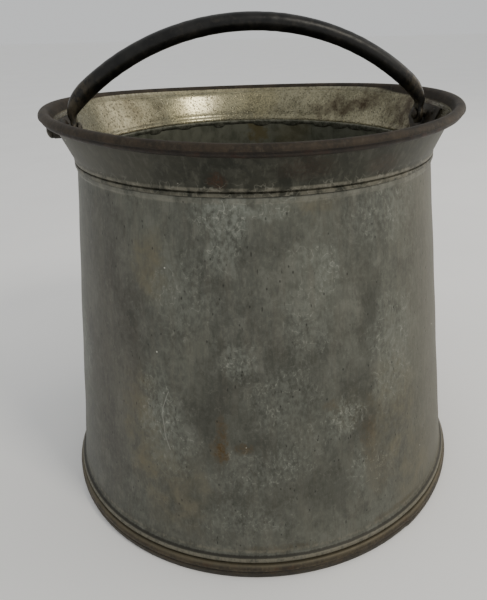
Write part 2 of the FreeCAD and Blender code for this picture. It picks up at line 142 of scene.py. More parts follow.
def mesh_object(name, vertices, faces, sharp=40):
    """An object from vertices in millimetres, its normals outwards and its sharp edges kept."""
    mesh = bpy.data.meshes.new(name)
    mesh.from_pydata([Vector(v) * MM for v in vertices], [], faces)
    work = bmesh.new()
    work.from_mesh(mesh)
    bmesh.ops.recalc_face_normals(work, faces=work.faces)
    limit = math.radians(sharp)
    for face in work.faces:
        face.smooth = True
    for edge in work.edges:
        edge.smooth = edge.calc_face_angle(0) < limit
    work.to_mesh(mesh)
    work.free()
    item = bpy.data.objects.new(name, mesh)
    bpy.context.scene.collection.objects.link(item)
    return item


def lathe(name, section, count, warp, zones=None):
    """A closed ring about Z from a closed section of (radius, height).

    warp(radius, height, angle) gives the point's real (radius, height).
    zones maps an attribute's name to a function of (radius, height, index) on the section.
    """
    vertices = []
    for turn in range(count):
        angle = TAU * turn / count
        for radius, height in section:
            r, z = warp(radius, height, angle)
            vertices.append((r * math.cos(angle), r * math.sin(angle), z))
    size = len(section)
    faces = []
    for turn in range(count):
        here, there = turn * size, (turn + 1) % count * size
        for index in range(size):
            after = (index + 1) % size
            faces.append((here + index, there + index, there + after, here + after))
    item = mesh_object(name, vertices, faces)
    for zone, value_at in (zones or {}).items():
        values = [value_at(point[0], point[1], index) for index, point in enumerate(section)]
        attribute = item.data.attributes.new(zone, "FLOAT", "POINT")
        attribute.data.foreach_set("value", values * count)
    return item


def turned(name, profile, count=48):
    """A solid turned about its own Z; the profile runs from axis to axis as (radius, height)."""
    first, *middle, last = profile
    vertices = [(0, 0, first[1])]
    for radius, height in middle:
        for turn in range(count):
            angle = TAU * turn / count
            vertices.append((radius * math.cos(angle), radius * math.sin(angle), height))
    vertices.append((0, 0, last[1]))
    top = len(vertices) - 1
    faces = []
    for turn in range(count):
        after = (turn + 1) % count
        faces.append((0, 1 + after, 1 + turn))
        for ring in range(len(middle) - 1):
            low, high = 1 + ring * count, 1 + (ring + 1) * count
            faces.append((low + turn, low + after, high + after, high + turn))
        ring = 1 + (len(middle) - 1) * count
        faces.append((ring + turn, ring + after, top))
    return mesh_object(name, vertices, faces)


def placed(item, matrix):
    """Move the item's mesh, so that the object itself stays at the origin."""
    item.data.transform(matrix)
    if matrix.determinant() < 0:
        item.data.flip_normals()
    return item


# ---- the sheet-metal body and the foot ----

def wall_radius(height):
    """Outside of the body's cone at a height."""
    share = (height - FOOT_TOP) / (NECK_TOP - FOOT_TOP)
    return FOOT_RADIUS + (NECK_RADIUS - FOOT_RADIUS) * share


DENTS = [
    # azimuth in degrees, height, half width, half height, depth
    (-132, 176, 16, 20, 0.55),
    (-92, 120, 24, 30, 0.4),
    (-70, 205, 20, 26, 0.45),
    (-38, 90, 22, 34, 0.7),
    (20, 170, 26, 22, 0.8),
    (74, 110, 18, 26, 0.7),
    (128, 200, 22, 30, 0.6),
    (165, 70, 24, 20, 0.5),
]


def body_warp(radius, height, angle):
    """Hand-worked sheet: slightly out of true, with shallow dents, and true at both ends."""
    free = ease((height - 20) / 40) * ease((252 - height) / 30)
    if not free:
        return radius, height
    shift = 0.45 * ripple(angle, height, 11) + 0.12 * math.sin(height * 0.11 + 3 * angle)
    for azimuth, middle, across, up, depth in DENTS:
        away = (angle - math.radians(azimuth) + math.pi) % TAU - math.pi
        reach = (away * radius / across) ** 2 + ((height - middle) / up) ** 2
        shift -= depth * math.exp(-reach) if reach < 9 else 0
    return radius + shift * free, height


def inside_body(radius, height, index):
    """1 on the body's inner face, 0 elsewhere."""
    return 1.0 if radius < wall_radius(height) - SHEET * 0.5 and height > 9 else 0.0


def make_body():
    """Tapered wall between its neck flange and hem above, and its foot bead and band below."""
    section = rounded([
        (FLANGE, SEAM, 0),
        (NECK_RADIUS - SHEET, SEAM, 1.0),
        (FOOT_RADIUS - SHEET, 16.6, 2.0),
        (BEAD_RADIUS - 0.85, 14.3, 1.0),
        (BEAD_RADIUS - 0.85, 12.3, 0.8),
        (BAND_RADIUS - SHEET, 11.0, 0.8),
        (BAND_RADIUS - SHEET, 0.8, 0),
        (BAND_RADIUS, 0.8, 0.3),
        (BAND_RADIUS, 10.9, 0.5),
        (BEAD_RADIUS, 12.0, 1.2),
        (BEAD_RADIUS, 14.5, 1.2),
        (FOOT_RADIUS + 0.15, 17.0, 1.6),
        (wall_radius(256.2), 256.2, 0.6),
        (wall_radius(256.9) + 0.6, 256.9, 0.5),
        (wall_radius(259.0) + 0.55, 259.1, 0.4),
        (NECK_RADIUS, 259.9, 0.2),
        (NECK_RADIUS, 260.15, 0),
        (FLANGE, 260.15, 0),
    ])
    return lathe("body_shell_visual", divided(section, 6), 384, body_warp,
                 {"inside": inside_body})


HOOP_INNER = 160.0


def hoop_warp(radius, height, angle):
    """Forged hoop: a little uneven, with the lap of its scarfed ends on the right front."""
    if radius < HOOP_INNER + 1:
        return radius, height
    lap_start, lap_length, lap_step = math.radians(-58), math.radians(16), 0.55
    lap = (angle - lap_start) % TAU
    step = lap_step * max(0.0, 1 - lap / lap_length) - lap_step
    shift = step + 0.12 * ripple(angle, height * 8, 23)
    return radius + shift, height + 0.15 * ripple(angle, 0, 29) * ease((height - 5) / 5)


def make_hoop():
    """Half-round hoop with one groove."""
    outer = hoop_high.x - 0.15
    top = hoop_high.z - 0.2
    section = rounded([
        (HOOP_INNER, 0, 0.2),
        (outer - 0.9, 0, 0.9),
        (outer - 0.2, 2.6, 1.5),
        (outer, 4.9, 0.5),
        (outer - 1.0, 5.6, 0.35),
        (outer - 0.05, 6.4, 0.5),
        (outer - 0.25, 8.6, 1.0),
        (outer - 1.7, top, 0.9),
        (HOOP_INNER, top, 0.2),
    ], 5)
    return lathe("foot_hoop_visual", divided(section, 1.6), 420, hoop_warp)


def make_bottom_solder():
    """Fillet inside the pail, its inner edge wavy."""
    edge = FOOT_RADIUS - SHEET - 0.25
    leg = 3.6
    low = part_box("bottom_solder")[0].z / MM
    section = rounded([
        (edge - leg, low, 0),
        (edge, low, 0),
        (edge, low + 2.1, 0),
        (edge - 1.6, low + 0.75, 1.2),
    ])

    def uneven(radius, height, angle):
        reach = (edge - radius) / leg
        return radius + 0.6 * reach * ripple(angle * 3, 0, 31), height

    return lathe("bottom_solder_visual", section, 384, uneven)


dice = random.Random(41)
LOBES = [
    # azimuth, half width, drop of the solder that ran down from the neck seam
    (math.radians(azimuth), dice.uniform(4.5, 9.0), dice.uniform(1.4, 3.0))
    for azimuth in (112, 97, 79, 66, 53, 45, 37, 31, 24, 9, -14, -33, -58, -71, -96,
                    -118, -131, -149, -170, 168, 151, 139, 126)
]


def lobe_drop(angle):
    """How far the solder hangs below its straight edge at an angle."""
    drop = 0.35 * (1 + ripple(angle * 2, 0, 43))
    neck = 128
    for azimuth, half, depth in LOBES:
        away = ((angle - azimuth + math.pi) % TAU - math.pi) * neck / half
        if abs(away) < 1:
            drop = max(drop, depth * math.sqrt(1 - away * away) + 0.2)
    return drop


def make_neck_solder():
    """Solder run in the neck's inner corner, hanging down the wall in lobes."""
    section = rounded([
        (127.75, 262.2, 0),
        (127.0, 261.8, 0.3),
        (126.85, 260.3, 0.3),
        (127.2, 259.4, 0.3),
        (127.75, 259.0, 0),
    ])
    section = divided(section, 0.5)
    taper = 0.1225

    def hang(radius, height, angle):
        low = ease((260.6 - height) / 1.0)
        z = height - lobe_drop(angle) * low
        follow = (SEAM - z) * taper if z < SEAM else 0
        return radius + follow, z

    return lathe("neck_solder_visual", section, 1080, hang)


# ---- collar and rim ----

flare_high = ROLL_CENTRE + Vector((-math.cos(FLARE_LEAN), math.sin(FLARE_LEAN))) * ROLL
flare_chord = flare_high - FLARE_FOOT
flare_reach = math.sqrt(FLARE_RADIUS ** 2 - (flare_chord.length / 2) ** 2)
FLARE_CENTRE = (FLARE_FOOT + flare_high) / 2 + Vector(
    (flare_chord.y, -flare_chord.x)).normalized() * flare_reach


def flare(height, away=0.0):
    """Radius of the collar's inner face at a height, or of a face that far outside it."""
    radius = FLARE_RADIUS - away
    return FLARE_CENTRE.x - math.sqrt(radius ** 2 - (height - FLARE_CENTRE.y) ** 2)


def collar_warp(radius, height, angle):
    """The rim rises at the ears and dips between them, and the sheet is a little uneven."""
    lift = ease((height - SADDLE_FOOT) / SADDLE_RISE)
    free = ease((height - 266) / 12) * (1 - ease(1.6 - abs(math.sin(angle)) * 4))
    shift = 0.3 * ripple(angle, height, 53) * free
    return radius + shift, height + SADDLE * lift * math.cos(2 * angle)


def make_collar():
    """Flared wall, swaged just above the neck, hemmed below and rolled over the wire above."""
    foot, top, steps = 261.4, 288.0, 24
    inner, outer = [], []
    for step in range(steps + 1):
        height = foot + (top - foot) * step / steps
        swage = math.exp(-((height - 264.0) / 1.5) ** 2)
        groove = math.exp(-((height - 266.9) / 1.2) ** 2)
        inner.append(Vector((flare(height) - 0.75 * swage + 0.25 * groove, height)))
        ridge = 0.65 * math.exp(-((height - 263.6) / 1.1) ** 2)
        outer.append(Vector((flare(height, SHEET) + ridge - 0.2 * groove, height)))
    crease = [Vector((flare(288.8) + 0.2, 288.8)), Vector((flare(289.6) - 0.15, 289.6))]
    roll = arc(ROLL_CENTRE, ROLL, 172, -2, 21)
    lip = arc(ROLL_CENTRE, ROLL - SHEET, 0, 150, 16)
    hem = rounded([
        (flare(261.9, SHEET), 262.3, 0),
        (HEM_RADIUS, 261.9, 0.4),
        (HEM_RADIUS, 259.8, 0.35),
        (HEM_RADIUS - SHEET, 259.8, 0),
        (HEM_RADIUS - SHEET, 260.95, 0),
        (127.8, 260.95, 0),
    ])
    section = inner + crease + roll + lip + outer[::-1][:-1] + hem
    wall_count, roll_count = len(inner), len(inner) + len(crease) + len(roll)

    def inside(radius, height, index):
        return 1.0 if index < wall_count else 0.0

    def rolled(radius, height, index):
        """0.1 at the start of the roll, 1 at its edge, and 0 off it."""
        if not wall_count <= index < roll_count + 4:
            return 0.0
        return min(1.0, 0.1 + 0.9 * (index - wall_count) / (roll_count - wall_count))

    return lathe("collar_visual", section, 480, collar_warp,
                 {"inside": inside, "rolled": rolled})


def make_rim_wire():
    """Wire in the roll, grooved under the roll's edge and hanging a little below it."""
    edge_angle, edge_width, sag = -15, 12, 1.35
    section = []
    for point in arc(ROLL_CENTRE, WIRE, 0, 355, 71):
        outwards = point - ROLL_CENTRE
        from_edge = math.degrees(math.atan2(outwards.y, outwards.x)) - edge_angle
        groove = 0.6 * math.exp(-(from_edge / edge_width) ** 2)
        hang = sag if outwards.y < 0 else 1.0
        outwards = outwards * (1 - groove / WIRE)
        section.append(ROLL_CENTRE + Vector((outwards.x, outwards.y * hang)))

    def uneven(radius, height, angle):
        r, z = collar_warp(radius, height, angle)
        outwards = Vector((radius, height)) - ROLL_CENTRE
        grow = 0.09 * ripple(angle * 4, height * 6, 61)
        rest_of_lift = 1 - ease((height - SADDLE_FOOT) / SADDLE_RISE)
        lift = SADDLE * math.cos(2 * angle) * rest_of_lift
        return r + outwards.x / WIRE * grow, z + lift + outwards.y / WIRE * grow

    return lathe("rim_wire_visual", section, 480, uneven)


# ---- the bail ----

ROD, ARCH = 6.15, 184.0
TOP_GAP, ROOT_BULGE, EYE_THICKNESS = 0.05, 1.4, 4.2
ARCH_CENTRE = bail_high.z - TOP_GAP - ROD - ARCH
FORGED_FROM, FLAT_FROM = math.radians(38), math.radians(39)
ROOT_OUT, ROOT_HEIGHT = bail_high.x + ROOT_BULGE, 290.0
EYE_OUT, EYE_IN = bail_high.x, bail_high.x - EYE_THICKNESS
EYE_ROUND, EYE_NECK = 7.1, 287.0


def beside_arch(away, angle):
    """A point (x, z) beside the bail's middle line; the angle is 0 at the top."""
    reach = ARCH + away
    return Vector((reach * math.sin(angle), ARCH_CENTRE + reach * math.cos(angle)))


def spaced(points, count):
    """The open line through the points as count + 1 evenly spaced, slightly smoothed points."""
    lengths = [0.0]
    for first, second in zip(points, points[1:]):
        lengths.append(lengths[-1] + (second - first).length)
    line, segment = [], 0
    for step in range(count + 1):
        along = lengths[-1] * step / count
        while segment < len(points) - 2 and lengths[segment + 1] < along:
            segment += 1
        share = (along - lengths[segment]) / (lengths[segment + 1] - lengths[segment])
        line.append(points[segment].lerp(points[segment + 1], share))
    for _ in range(4):
        line[1:-1] = [(a + b * 2 + c) / 4 for a, b, c in zip(line, line[1:], line[2:])]
    return line


def bail_edges():
    """Half the bail as rows of inner point, outer point, half width and squareness."""
    rod_rows, root_rows, eye_rows = 120, 40, 6
    rows = []
    for step in range(rod_rows):
        angle = FORGED_FROM * step / rod_rows
        rows.append((beside_arch(-ROD, angle), beside_arch(ROD, angle), ROD, 0.0))
    neck_width = ROD - 0.5
    for step, pair in enumerate(zip(spaced(inner_root(), root_rows),
                                    spaced(outer_root(), root_rows))):
        share = step / root_rows
        rows.append((*pair, ROD + (neck_width - ROD) * ease(share), ease(share * 1.2 - 0.2)))
    for step in range(1, eye_rows + 1):
        height = EYE_NECK + (hinge.z - EYE_NECK) * step / eye_rows
        width = neck_width + (EYE_ROUND - neck_width) * ease(step / eye_rows)
        rows.append((Vector((EYE_IN, height)), Vector((EYE_OUT, height)), width, 1.0))
    return rows


def inner_root():
    """The root's inner side: it follows the arch until it meets the eye's inner face."""
    last = math.asin(EYE_IN / (ARCH - ROD))
    angles = [FORGED_FROM + (last - FORGED_FROM) * step / 24 for step in range(25)]
    return [beside_arch(-ROD, angle) for angle in angles] + [Vector((EYE_IN, EYE_NECK))]


def outer_root():
    """The root's outer side: it leaves the arch, bends down, and steps in to the eye."""
    leaves = beside_arch(ROD, FLAT_FROM)
    corner = Vector((ROOT_OUT, leaves.y - (ROOT_OUT - leaves.x) * math.tan(FLAT_FROM)))
    lands = Vector((ROOT_OUT, ROOT_HEIGHT))
    bend = [leaves * (1 - t) ** 2 + corner * 2 * t * (1 - t) + lands * t * t
            for t in (step / 16 for step in range(17))]
    return [beside_arch(ROD, FORGED_FROM)] + bend + [Vector((EYE_OUT, EYE_NECK))]


def bail_ring(row, side, grow, around):
    """Points round the bail at one row: a circle that turns into a rounded rectangle."""
    inner, outer, width, square = row
    middle, across = (inner + outer) / 2, (outer - inner) / 2
    power = 1 - 0.45 * square
    ring = []
    for turn in range(around):
        angle = TAU * turn / around
        c, s = math.cos(angle), math.sin(angle)
        c = math.copysign(abs(c) ** power, c)
        s = math.copysign(abs(s) ** power, s)
        spot = middle + across * (c * grow)
        ring.append((spot.x * side, s * width * grow, spot.y))
    return ring


def make_bail():
    """A round rod in an arch, forged flat on the outside of both ends, which are eyes."""
    around = 40
    halves = []
    for side in (-1, 1):
        half = []
        for step, row in enumerate(bail_edges()):
            grow = 1 + 0.012 * ripple(step * 0.11 * side, 0, 71) * (1 - row[3])
            half.append(bail_ring(row, side, grow, around))
        halves.append(half + eye_end(half[-1]))
    loop = halves[0][::-1] + halves[1][1:]
    vertices = [v for ring in loop for v in ring]
    faces = []
    for number in range(len(loop) - 1):
        here, there = number * around, (number + 1) * around
        for turn in range(around):
            after = (turn + 1) % around
            faces.append((here + turn, here + after, there + after, there + turn))
    faces.append(tuple(range(around)))
    faces.append(tuple(range(len(vertices) - around, len(vertices))))
    return drilled(mesh_object("bail_visual", vertices, faces, 50))


def eye_end(ring):
    """Rings that close the eye below the pin as a half round."""
    ends = []
    for step in range(1, 9):
        angle = math.radians(step * 11)
        drop, narrow = EYE_ROUND * math.sin(angle), math.cos(angle)
        ends.append([(x, y * narrow, z - drop) for x, y, z in ring])
    return ends


def drilled(item):
    """The bail with a round hole through both eyes."""
    radius, reach = 3.08, 200
    tool = turned("eye_drill", [(0, -reach), (radius, -reach), (radius, reach), (0, reach)])
    turn = Matrix.Rotation(math.pi / 2, 4, "Y")
    placed(tool, Matrix.Translation(hinge * MM) @ turn)
    cut = item.modifiers.new("eyes", "BOOLEAN")
    cut.operation = "DIFFERENCE"
    cut.solver = "EXACT"
    cut.object = tool
    result = bpy.data.meshes.new_from_object(
        item.evaluated_get(bpy.context.evaluated_depsgraph_get()))
    item.modifiers.clear()
    item.data = result
    bpy.data.objects.remove(tool)
    return item


# ---- pins, washers, rivets, plates ----

def quarter(radius, base, rise, steps):
    """Profile points (radius, height) of a dome that closes in from its edge to its axis."""
    angles = [math.radians(step * 11.25) for step in steps]
    return [(radius * math.cos(angle), base + rise * math.sin(angle)) for angle in angles]


def make_pin(name, side):
    """Forged pin along X, with a low inner head and a tall hammered outer head."""
    shank, inner_head = 3.0, 4.25
    outer_head = (pin_high.z - pin_low.z) / 2 - 0.1
    inner_face, end = pin_low.x + 2.6, pin_high.x - 0.1
    start = washer_face + 0.05
    flank = start + 1.6
    inner_dome = quarter(inner_head, pin_low.x + 2.0, -2.0, range(7, -1, -1))
    profile = [(0, pin_low.x), *inner_dome,
               (inner_head + 0.05, inner_face - 0.3), (inner_head - 0.15, inner_face),
               (shank, inner_face), (shank, start),
               (outer_head - 0.4, start), (outer_head, start + 0.5),
               *quarter(outer_head, flank, end - flank, range(8)), (0, end)]
    item = turned(name, profile, 56)
    turn = Matrix.Rotation(math.pi / 2 * side, 4, "Y")
    return placed(item, Matrix.Translation(Vector((0, 0, hinge.z)) * MM) @ turn)


def hammered(item, strength, size):
    """Fine geometric unevenness along the normals, from smooth three-way waves."""
    for vertex in item.data.vertices:
        p = vertex.co / (size * MM)
        wave = (math.sin(p.x * 1.7 + 2 * math.sin(p.y)) + math.sin(p.y * 1.3 + 2 * math.sin(p.z))
                + math.sin(p.z * 1.9 + 2 * math.sin(p.x))) / 3
        vertex.co += vertex.normal * wave * strength * MM
    return item


def rounded_node(node, width):
    """A CAD node that keeps its shape and gets softened edges."""
    item = frame["nodes"][node]
    soften = item.modifiers.new("worn_edges", "BEVEL")
    soften.width = width * MM
    soften.segments = 3
    soften.limit_method = "ANGLE"
    soften.angle_limit = math.radians(35)
    return item


# ---- materials ----

# Marks on the sheet: azimuth in degrees, height, half width, half height, amount
# darker patches: the one on the left front is painted shade on the side away from the main
# light, the other two are a darker tone
LEFT_SHADE_AND_DARK_PATCHES = [(-145, 150, 26, 80, 0.3), (40, 130, 24, 60, 0.2), (155, 150, 26, 60, 0.25)]
BLOOM = [
    (-106, 236, 8, 16, 0.75), (-108, 252, 12, 6, 0.8), (-96, 252, 12, 4, 0.7),
    (-104, 160, 8, 8, 0.65), (-87, 223, 7, 6, 0.5), (-81, 212, 5, 10, 0.65),
    (-87, 182, 12, 16, 0.4), (-77, 113, 11, 9, 0.65), (-118, 200, 14, 18, 0.35),
    (-92, 132, 16, 16, 0.4), (-60, 150, 14, 28, 0.45), (-62, 243, 18, 12, 0.4),
    (-126, 124, 10, 16, 0.5), (-122, 100, 12, 20, 0.4), (-89, 95, 14, 10, 0.3),
    (-100, 80, 20, 10, 0.35), (-103, 44, 20, 10, 0.4), (-70, 66, 14, 14, 0.35),
    (28, 190, 14, 20, 0.6), (62, 120, 16, 18, 0.55), (118, 80, 18, 14, 0.6),
    (150, 215, 12, 18, 0.6), (-20, 110, 14, 26, 0.45), (-165, 130, 14, 20, 0.5),
]
OCHRE_DIRT = [
    (-127, 216, 9, 16, 0.6), (-131, 104, 11, 30, 0.6), (-122, 60, 18, 24, 0.5),
    (-84, 252, 14, 4, 0.4), (-62, 100, 18, 34, 0.5), (-74, 118, 12, 10, 0.5),
    (-52, 46, 18, 22, 0.4), (12, 60, 20, 24, 0.45), (84, 180, 16, 30, 0.45),
    (134, 120, 18, 30, 0.5),
]
TARNISH = [
    (-134, 177, 4, 5, 0.5), (-109, 171, 2.4, 8, 0.4), (-68, 180, 8, 24, 0.5),
    (-103, 150, 4, 3, 0.45), (-113, 250, 9, 4, 0.3), (-72, 120, 10, 22, 0.45),
    (-79, 60, 20, 12, 0.25), (-108, 46, 16, 10, 0.2), (-88, 150, 12, 26, 0.3),
    (-95, 92, 50, 46, 0.28), (-112, 130, 10, 20, 0.3), (36, 90, 8, 26, 0.45),
    (98, 214, 9, 12, 0.45), (160, 60, 10, 18, 0.45),
]
RUST = [
    (-108.4, 106, 3.0, 13, 0.7), (-109.2, 97, 4.5, 6, 0.5), (-103.2, 99, 5, 3, 0.65),
    (-81, 124, 3.5, 2.5, 0.5), (-69.6, 90, 5, 15, 0.4), (-67, 60, 8, 15, 0.3),
    (-95, 21, 18, 2.2, 0.4), (-60, 21, 22, 2.2, 0.4), (52, 150, 5, 12, 0.6),
    (110, 130, 6, 5, 0.6), (-172, 90, 7, 12, 0.5), (-24, 60, 7, 10, 0.5),
]
INNER_RUST = [(81, 251, 6, 7, 0.6), (66, 246, 12, 12, 0.25), (-80, 130, 10, 24, 0.3)]
COLLAR_RUST = [
    (-107.3, 269, 3.8, 3.4, 1.0), (-86, 276, 12, 5, 0.35), (-64, 272, 9, 5, 0.35),
    (44, 276, 7, 5, 0.6), (96, 272, 9, 5, 0.5), (150, 270, 6, 5, 0.5),
]
# dirt inside the collar; the patch at 136 degrees is painted shade that dims the back-left wall
COLLAR_DIRT_AND_SHADE = [
    (41, 276, 16, 6, 0.75), (33, 284, 14, 5, 0.65), (52, 269, 12, 4.5, 0.6),
    (178, 280, 24, 16, 0.85), (4, 278, 30, 20, 1.0),
    (-60, 276, 20, 8, 0.4), (-120, 272, 16, 7, 0.4), (136, 278, 26, 16, 0.3),
]
# a painted warm highlight at 110 degrees, and paler tin at 80 and 93 degrees
COLLAR_HIGHLIGHT_AND_PALE = [(110, 273, 13, 10, 0.75), (80, 280, 15, 9, 0.5), (93, 280, 12, 8, 0.3)]


def srgb(red, green, blue):
    """A colour given in display values from 0 to 255."""
    def linear(value):
        value /= 255
        return value / 12.92 if value <= 0.04045 else ((value + 0.055) / 1.055) ** 2.4

    return (linear(red), linear(green), linear(blue), 1.0)


class Shader:
    """A material under construction. Its methods add nodes and return their outputs."""

    def __init__(self, name, metallic, specular=0.5):
        self.material = bpy.data.materials.new(name)
        self.material.use_nodes = True
        self.tree = self.material.node_tree
        self.tree.nodes.clear()
        self.metallic, self.specular, self.normal = metallic, specular, None
        coordinates = self.node("TexCoord")
        self.place = self.vector("SCALE", coordinates.outputs["Object"], Scale=1 / MM)
        self.x, self.y, self.z = self.node("SeparateXYZ", Vector=self.place).outputs

    def node(self, kind, **values):
        """A new node with inputs set by name; an underscore stands for a space."""
        node = self.tree.nodes.new("ShaderNode" + kind)
        for name, value in values.items():
            self.feed(node.inputs[name.replace("_", " ")], value)
        return node

    def feed(self, socket, value):
        """Link a socket to another node's output, or give it a fixed value."""
        if isinstance(value, bpy.types.NodeSocket):
            self.tree.links.new(value, socket)
        else:
            socket.default_value = value

    def vector(self, operation, *values, **named):
        node = self.node("VectorMath")
        node.operation = operation
        for socket, value in zip(node.inputs, values):
            self.feed(socket, value)
        for name, value in named.items():
            self.feed(node.inputs[name], value)
        return node.outputs["Value"] if operation == "DOT_PRODUCT" else node.outputs["Vector"]

    def math(self, operation, *values):
        node = self.node("Math")
        node.operation = operation
        for socket, value in zip(node.inputs, values):
            self.feed(socket, value)
        return node.outputs[0]

    def noise(self, size, detail=3.0, roughness=0.55, stretch=(1, 1, 1), shift=0.0,
              distortion=0.0):
        """Cloudy noise from 0 to 1 whose features are about size millimetres."""
        scaled = self.vector("MULTIPLY", self.place, tuple(s / size for s in stretch))
        moved = self.vector("ADD", scaled, (shift, shift * 1.7, shift * 0.6))
        return self.node("TexNoise", Vector=moved, Scale=1.0, Detail=detail,
                         Roughness=roughness, Distortion=distortion).outputs[0]

    def cells(self, size, stretch=(1, 1, 1), shift=0.0):
        """Distance to the nearest of many scattered points in cell widths, and its colour."""
        scaled = self.vector("MULTIPLY", self.place, tuple(s / size for s in stretch))
        moved = self.vector("ADD", scaled, (shift, shift * 1.3, shift * 0.7))
        node = self.node("TexVoronoi", Vector=moved, Scale=1.0)
        return node.outputs["Distance"], node.outputs["Color"]

    def window(self, value, low, high):
        """0 at low and 1 at high, smooth between; low may be above high."""
        start, end = (0.0, 1.0) if low <= high else (1.0, 0.0)
        node = self.node("MapRange", Value=value, From_Min=min(low, high),
                         From_Max=max(low, high), To_Min=start, To_Max=end)
        node.interpolation_type = "SMOOTHSTEP"
        return node.outputs["Result"]

    def both(self, first, second):
        """The product of two masks, or of a mask and an amount."""
        return self.math("MULTIPLY", first, second)

    def between(self, value, low, full_low, full_high, high):
        """1 between the two middle values and 0 outside the outer two."""
        return self.both(self.window(value, low, full_low), self.window(value, high, full_high))

    def mix(self, factor, first, second):
        """The first colour where the factor is 0 and the second where it is 1."""
        node = self.node("Mix")
        node.data_type = "RGBA"
        for name, value in (("Factor_Float", factor), ("A_Color", first), ("B_Color", second)):
            self.feed(next(s for s in node.inputs if s.identifier == name), value)
        return next(s for s in node.outputs if s.identifier == "Result_Color")

    def tint(self, colour, mask, amount, shade):
        """The colour with that amount of a shade laid over it where the mask is 1."""
        return self.mix(self.both(mask, amount), colour, shade)

    def curls(self, size, shift, wide, thin):
        """Thin curling lines, like the edges of dried drops."""
        away = self.math("SUBTRACT", self.noise(size, 2, 0.5, shift=shift), 0.5)
        return self.window(self.math("ABSOLUTE", away), wide, thin)

    def attribute(self, name):
        node = self.node("Attribute")
        node.attribute_name = name
        return node.outputs["Fac"]

    def wavy(self, size, reach):
        """The surface position, pushed about by cloudy noise of that size by up to reach mm."""
        scaled = self.vector("MULTIPLY", self.place, (1 / size,) * 3)
        node = self.node("TexNoise", Vector=scaled, Scale=1.0, Detail=4.0, Roughness=0.68)
        offset = self.vector("SUBTRACT", node.outputs["Color"], (0.5, 0.5, 0.5))
        return self.vector("ADD", self.place, self.vector("SCALE", offset, Scale=reach * 2))

    def patches(self, where, table, soft):
        """Soft patches on a round wall, added up and kept below 1.

        Each row is (azimuth in degrees, height, half width, half height, amount).
        """
        up_to = self.node("SeparateXYZ", Vector=where).outputs[2]
        wall, wall_reach = 145, 60
        total = 0.0
        for azimuth, height, across, up, amount in table:
            angle = math.radians(azimuth)
            c, s = math.cos(angle), math.sin(angle)
            side = self.vector("DOT_PRODUCT", where, (-s / across, c / across, 0))
            rise = self.math("MULTIPLY_ADD", up_to, 1 / up, -height / up)
            # this keeps the mark off the far wall
            depth = self.vector("DOT_PRODUCT", where, (c / wall_reach, s / wall_reach, 0))
            depth = self.math("SUBTRACT", depth, wall / wall_reach)
            reach = self.both(side, side)
            reach = self.math("MULTIPLY_ADD", rise, rise, reach)
            reach = self.math("MULTIPLY_ADD", depth, depth, reach)
            mask = self.window(reach, (1 + soft) ** 2, (1 - soft) ** 2)
            total = self.math("MULTIPLY_ADD", mask, amount, total)
        return self.math("MINIMUM", total, 1.0)

    def relief(self, height, strength, distance):
        """Bump of the given depth in millimetres, laid over any earlier bump."""
        bump = self.node("Bump", Strength=strength, Distance=distance * MM, Height=height)
        if self.normal:
            self.feed(bump.inputs["Normal"], self.normal)
        self.normal = bump.outputs[0]

    def finish(self, colour, roughness, metallic=None):
        """The finished material."""
        surface = self.node("BsdfPrincipled", Base_Color=colour, Roughness=roughness,
                            Metallic=self.metallic if metallic is None else metallic,
                            Specular_IOR_Level=self.specular)
        if self.normal:
            self.feed(surface.inputs["Normal"], self.normal)
        self.node("OutputMaterial", Surface=surface.outputs[0])
        return self.material


def tinned_sheet():
    """Dull, mottled tin outside, with stains, scratches, specks and painted warm light and
    shade; darker and damp inside.
    """
    s = Shader("tin", 0.42, 0.35)
    cloud = s.noise(52, 4, 0.6, (1, 1, 0.7))
    mottle = s.noise(13, 5, 0.66, (1, 1, 0.75), 7.0, 0.4)
    grain = s.noise(2.4, 4, 0.7, (1, 1, 0.6), 3.0)
    streak = s.noise(5.0, 3, 0.6, (1, 1, 0.07), 13.0)
    fine_streak = s.noise(1.3, 2, 0.6, (1, 1, 0.03), 19.0)
    wavy, coarse = s.wavy(5, 5.0), s.wavy(15, 19.0)

    colour = s.mix(s.window(cloud, 0.36, 0.64), srgb(72, 73, 66), srgb(90, 91, 82))
    colour = s.tint(colour, s.window(mottle, 0.5, 0.68), 0.5, srgb(112, 112, 103))
    colour = s.tint(colour, s.window(mottle, 0.5, 0.34), 0.6, srgb(62, 62, 55))
    colour = s.tint(colour, s.window(grain, 0.38, 0.66), 0.25, srgb(116, 116, 106))
    colour = s.tint(colour, s.window(streak, 0.42, 0.7), 0.2, srgb(108, 103, 91))
    colour = s.tint(colour, s.window(fine_streak, 0.5, 0.3), 0.2, srgb(52, 51, 45))

    colour, bloom = stained_tin(s, colour, wavy, coarse, mottle, grain)
    curl = s.both(s.curls(9, 41.0, 0.016, 0.004), s.window(grain, 0.4, 0.6))
    fade = s.math("MULTIPLY_ADD", bloom, 0.6, 0.08)
    colour = s.tint(colour, curl, fade, srgb(156, 156, 144))
    colour, nick, pit = scratched_tin(s, colour, grain)
    colour = tin_edges(s, colour, mottle, grain)
    near, chance = s.cells(15.0, shift=5.0)
    speck = s.both(s.window(near, 0.05, 0.03), s.window(chance, 0.62, 0.66))
    colour = s.tint(colour, speck, 0.8, srgb(190, 190, 178))

    # inside: darker and greener, with vertical runs
    inside = s.attribute("inside")
    inner = s.mix(s.window(mottle, 0.35, 0.65), srgb(94, 96, 83), srgb(124, 125, 111))
    inner = s.tint(inner, s.window(streak, 0.45, 0.7), 0.5, srgb(124, 125, 112))
    inner = s.mix(s.patches(coarse, INNER_RUST, 0.9), inner, srgb(104, 90, 44))
    colour = s.mix(inside, colour, inner)

    rough = s.math("MULTIPLY_ADD", mottle, 0.16, 0.46)
    rough = s.math("MULTIPLY_ADD", fine_streak, -0.06, rough)
    s.relief(grain, 0.4, 0.16)
    s.relief(mottle, 0.4, 0.45)
    s.relief(fine_streak, 0.2, 0.1)
    s.relief(s.math("MAXIMUM", nick, pit), 0.5, -0.2)
    return s.finish(colour, rough)


